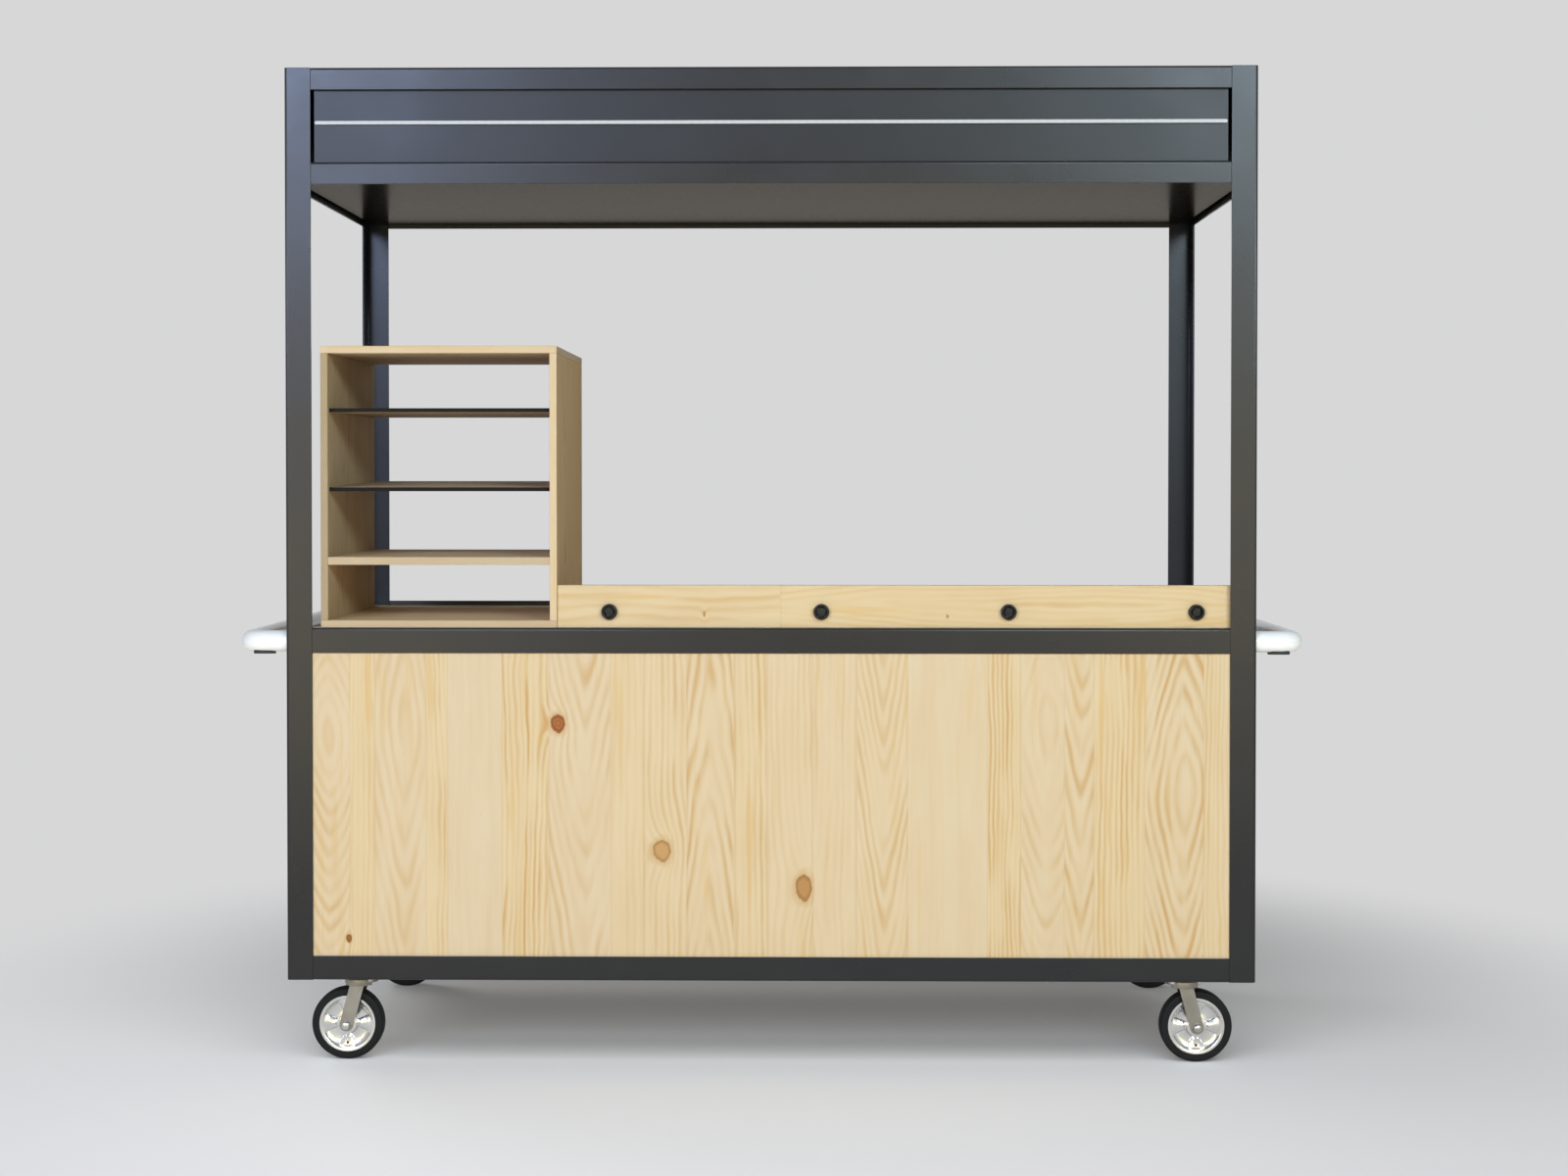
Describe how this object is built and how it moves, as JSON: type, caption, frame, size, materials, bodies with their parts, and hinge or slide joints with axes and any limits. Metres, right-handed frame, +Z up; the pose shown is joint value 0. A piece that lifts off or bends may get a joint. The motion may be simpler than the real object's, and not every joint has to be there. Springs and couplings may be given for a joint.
{
  "type": "coffee cart",
  "caption": "Mobile coffee cart: black steel angle frame on swivel castors, lit canopy, pine counter walls and worktop, shelf unit and steel push handles.",
  "frame": {"origin": "on the floor, under the middle of the frame", "axes": "+X to the right along the counter, +Y to the back, +Z up; the front faces -Y"},
  "size_m": [2.208, 0.85, 2.065],
  "materials": {
    "frame_paint": "near-black semi-gloss powder coat on folded steel angle",
    "canopy_paint": "near-black satin powder coat on steel sheet",
    "soffit_sheet": "dark bronze anodised aluminium sheet",
    "led_strip": "anodised aluminium strip",
    "led_cover": "lit white diffuser",
    "pine": "edge-glued pine under a satin clear lacquer",
    "shelf_board": "brown board with pale edges",
    "black_plastic": "black moulded plastic",
    "handle_enamel": "white gloss enamel on steel tube",
    "pad_rubber": "black rubber",
    "castor_black": "black painted pressed steel",
    "zinc_steel": "zinc-plated pressed steel",
    "rim_metal": "polished turned aluminium",
    "tyre_rubber": "black solid rubber"
  },
  "bodies": {
    "cart": {"post_front_left": "frame_paint", "post_front_right": "frame_paint", "post_back_left": "frame_paint", "post_back_right": "frame_paint", "canopy_top_rails": "frame_paint", "canopy_lower_rails": "frame_paint", "counter_rails": "frame_paint", "base_rails": "frame_paint", "corner_plates": "frame_paint", "fascia_front": "canopy_paint", "fascia_back": "canopy_paint", "fascia_sides": "canopy_paint", "led_base": "led_strip", "led_diffuser": "led_cover", "roof_panel": "canopy_paint", "soffit_panel": "soffit_sheet", "panel_front": "pine", "panel_back": "pine", "panel_sides": "pine", "worktop": "pine", "base_board": "pine", "upstand": "pine", "upstand_knobs": "black_plastic", "cubby_sides": "shelf_board", "cubby_top": "shelf_board", "cubby_bottom": "shelf_board", "cubby_shelf_lower": "shelf_board", "cubby_shelf_middle": "shelf_board", "cubby_shelf_upper": "shelf_board", "cubby_edging": "black_plastic", "handle_left": "handle_enamel", "handle_right": "handle_enamel", "handle_pads": "pad_rubber", "castor_plates": "castor_black"},
    "castor_front_left": {"fork_front_left": "zinc_steel"},
    "castor_front_right": {"fork_front_right": "zinc_steel"},
    "castor_back_left": {"fork_back_left": "zinc_steel"},
    "castor_back_right": {"fork_back_right": "zinc_steel"},
    "wheel_front_left": {"rim_front_left": "rim_metal", "tyre_front_left": "tyre_rubber"},
    "wheel_front_right": {"rim_front_right": "rim_metal", "tyre_front_right": "tyre_rubber"},
    "wheel_back_left": {"rim_back_left": "rim_metal", "tyre_back_left": "tyre_rubber"},
    "wheel_back_right": {"rim_back_right": "rim_metal", "tyre_back_right": "tyre_rubber"}
  },
  "joints": [
    {"name": "swivel_front_left", "type": "hinge", "parent": "cart", "child": "castor_front_left", "pos_m": [-0.863, -0.343, 0.1714], "axis": [0, 0, 1], "continuous": true},
    {"name": "swivel_front_right", "type": "hinge", "parent": "cart", "child": "castor_front_right", "pos_m": [0.863, -0.343, 0.1714], "axis": [0, 0, 1], "continuous": true},
    {"name": "swivel_back_left", "type": "hinge", "parent": "cart", "child": "castor_back_left", "pos_m": [-0.863, 0.343, 0.1714], "axis": [0, 0, 1], "continuous": true},
    {"name": "swivel_back_right", "type": "hinge", "parent": "cart", "child": "castor_back_right", "pos_m": [0.863, 0.343, 0.1714], "axis": [0, 0, 1], "continuous": true},
    {"name": "roll_front_left", "type": "hinge", "parent": "castor_front_left", "child": "wheel_front_left", "pos_m": [-0.889, -0.343, 0.075], "axis": [0, 1, 0], "continuous": true},
    {"name": "roll_front_right", "type": "hinge", "parent": "castor_front_right", "child": "wheel_front_right", "pos_m": [0.889, -0.343, 0.075], "axis": [0, 1, 0], "continuous": true},
    {"name": "roll_back_left", "type": "hinge", "parent": "castor_back_left", "child": "wheel_back_left", "pos_m": [-0.889, 0.343, 0.075], "axis": [0, 1, 0], "continuous": true},
    {"name": "roll_back_right", "type": "hinge", "parent": "castor_back_right", "child": "wheel_back_right", "pos_m": [0.889, 0.343, 0.075], "axis": [0, 1, 0], "continuous": true}
  ]
}
